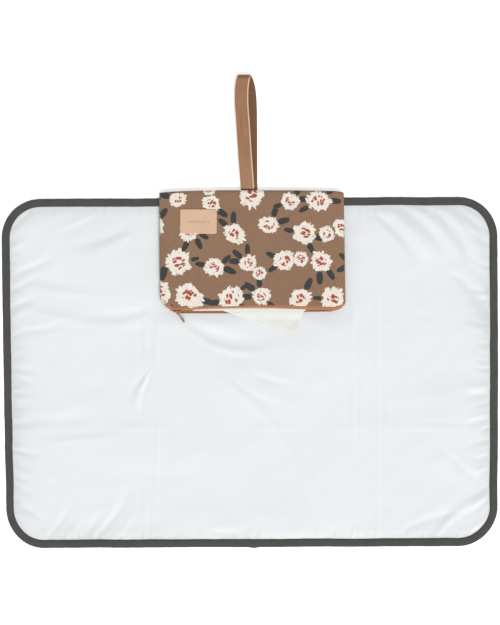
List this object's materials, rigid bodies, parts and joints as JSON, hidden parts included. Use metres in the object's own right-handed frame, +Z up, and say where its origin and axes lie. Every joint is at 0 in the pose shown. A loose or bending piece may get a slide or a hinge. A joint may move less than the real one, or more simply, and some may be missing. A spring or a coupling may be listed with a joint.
{
  "type": "travel changing pad",
  "caption": "Padded wipe-clean travel changing mat that folds in three, with a zipped floral canvas pouch on its top edge and a leather wrist strap.",
  "frame": {"origin": "centre of the mat's underside, on the surface it lies on", "axes": "+X along the mat's long side, +Y towards the pouch and strap, +Z up out of the wipe-clean face"},
  "size_m": [0.7, 0.665, 0.0124],
  "materials": {
    "coated_sheet": "white polyurethane-coated wipe-clean polyester, satin",
    "wadding": "thin white polyester wadding",
    "floral_canvas": "brown cotton canvas printed with cream blossoms and slate leaves",
    "binding": "charcoal cotton bias binding",
    "zip_tape": "tan woven zip tape",
    "zip_teeth": "tan nylon coil",
    "zip_metal": "copper-toned zip metal, satin",
    "tag_leather": "light natural leather, debossed with a plain motif",
    "strap_leather": "tan leather band with paler cut edges",
    "cotton_cloth": "off-white soft cotton"
  },
  "bodies": {
    "mat": {"top_sheet_centre": "coated_sheet", "wadding_centre": "wadding", "backing_centre": "floral_canvas", "binding_top": "binding", "binding_bottom": "binding", "hinge_tape": "binding"},
    "left_wing": {"top_sheet_left": "coated_sheet", "wadding_left": "wadding", "backing_left": "floral_canvas", "binding_left": "binding"},
    "right_wing": {"top_sheet_right": "coated_sheet", "wadding_right": "wadding", "backing_right": "floral_canvas", "binding_right": "binding"},
    "pouch": {"pouch_back_panel": "floral_canvas", "pouch_front_panel": "floral_canvas", "pouch_top_fold": "floral_canvas", "pouch_side_seam_left": "floral_canvas", "pouch_side_seam_right": "floral_canvas", "zip_tape_back": "zip_tape", "zip_tape_front": "zip_tape", "zip_teeth_back": "zip_teeth", "zip_teeth_front": "zip_teeth", "zip_bottom_stop": "zip_metal", "zip_top_stop_back": "zip_metal", "zip_top_stop_front": "zip_metal", "leather_tag": "tag_leather"},
    "slider": {"zip_slider": "zip_metal"},
    "pull": {"zip_pull": "zip_metal"},
    "strap": {"wrist_strap": "strap_leather"},
    "cloth": {"pocket_cloth": "cotton_cloth"}
  },
  "joints": [
    {"name": "left_wing_fold", "type": "hinge", "parent": "mat", "child": "left_wing", "pos_m": [-0.136, 0, 0.0077], "axis": [0, 1, 0], "range_deg": [0, 179.5]},
    {"name": "right_wing_fold", "type": "hinge", "parent": "mat", "child": "right_wing", "pos_m": [0.136, 0, 0.01018], "axis": [0, -1, 0], "range_deg": [0, 179.5]},
    {"name": "pouch_flap", "type": "hinge", "parent": "mat", "child": "pouch", "pos_m": [0, 0.258, 0.009], "axis": [-1, 0, 0], "range_deg": [0, 170]},
    {"name": "strap_swing", "type": "hinge", "parent": "mat", "child": "strap", "pos_m": [-0.004, 0.262, 0.00475], "axis": [-1, 0, 0], "range_deg": [-100, 0]},
    {"name": "zip_slide", "type": "slide", "parent": "pouch", "child": "slider", "axis": [1, 0, 0], "range_m": [0, 0.205]},
    {"name": "pull_swing", "type": "hinge", "parent": "slider", "child": "pull", "pos_m": [-0.101, 0.0826, 0.0072], "axis": [0, 0, 1], "range_deg": [-105, 40]},
    {"name": "cloth_slide", "type": "slide", "parent": "pouch", "child": "cloth", "axis": [0, 1, 0], "range_m": [0, 0.05125]}
  ],
  "couplings": [
    {"joint": "cloth_slide", "follows": "zip_slide", "ratio": 0.25}
  ]
}
